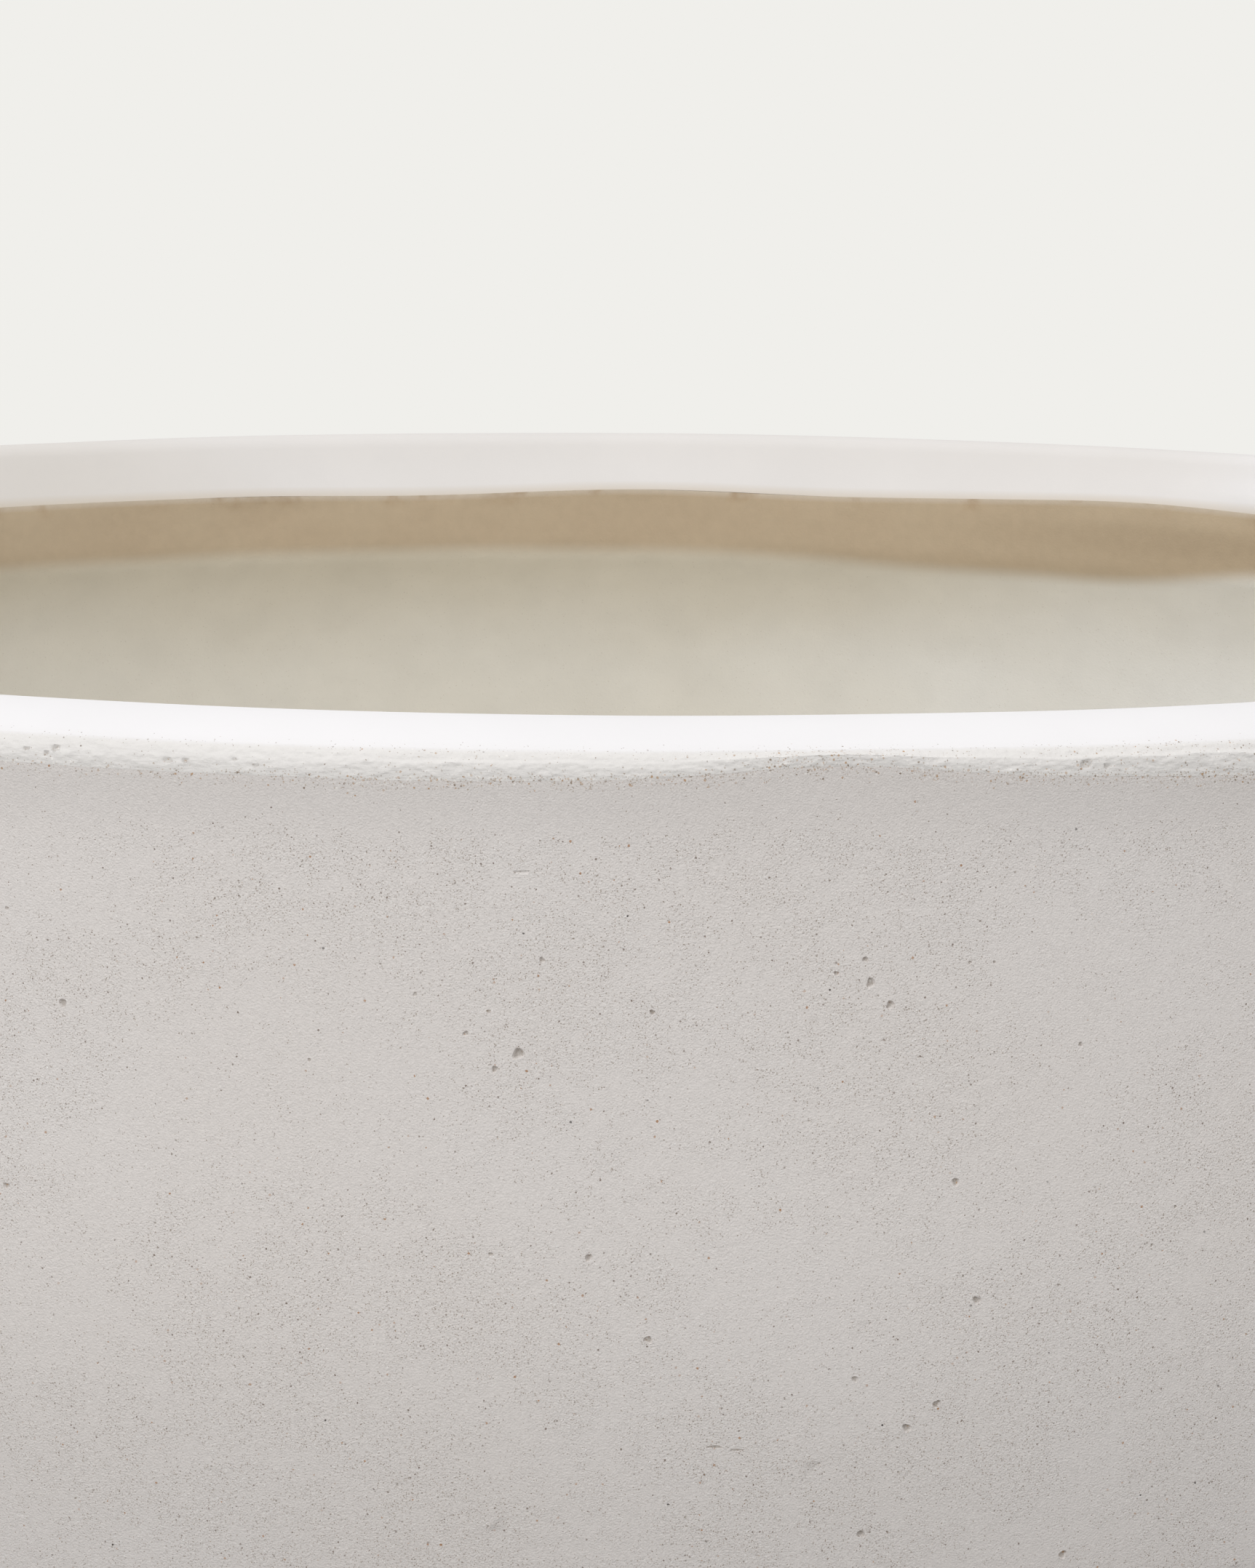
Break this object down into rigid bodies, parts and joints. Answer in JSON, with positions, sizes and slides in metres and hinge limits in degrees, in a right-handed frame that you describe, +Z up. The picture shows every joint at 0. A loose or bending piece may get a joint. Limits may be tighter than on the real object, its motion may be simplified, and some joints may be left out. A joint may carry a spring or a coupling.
{
  "type": "concrete planter",
  "caption": "Round cast concrete floor planter with a thick rolled rim, a tapered bowl, a floor drain closed by a rubber stopper, and rubber foot pads.",
  "frame": {"origin": "on the floor under the middle of the planter, at the foot pads' underside", "axes": "+Z up along the planter's axis; +X and +Y lie between the foot pads, and -Y faces the pictured side"},
  "size_m": [0.64, 0.64, 0.44],
  "materials": {
    "rim_mortar": "white mortar, floated smooth on top, rough and pitted along its outer edge",
    "face_mortar": "pale cast mortar, fine sand grain, scattered pits, rubbed rim edge",
    "glass_mat": "resin-free glass-fibre mat, sealed in the wall",
    "backing_mortar": "grey-green hand-laid mortar, trowelled",
    "lip_mortar": "tan sandy mortar, hand pressed",
    "wire": "plain drawn wire",
    "sleeve_plastic": "grey pipe plastic",
    "plug_rubber": "moulded black rubber",
    "pad_rubber": "moulded black rubber"
  },
  "bodies": {
    "planter": {"rim_cap": "rim_mortar", "face_coat": "face_mortar", "fibre_mat": "glass_mat", "backing_shell": "backing_mortar", "lip_stiffener": "lip_mortar", "rim_hoop": "wire", "drain_sleeve": "sleeve_plastic", "foot_pad_1": "pad_rubber", "foot_pad_2": "pad_rubber", "foot_pad_3": "pad_rubber", "foot_pad_4": "pad_rubber"},
    "stopper": {"drain_plug": "plug_rubber"}
  },
  "joints": [
    {"name": "stopper_pull", "type": "slide", "parent": "planter", "child": "stopper", "axis": [0, 0, 1], "range_m": [0, 0.45]}
  ]
}
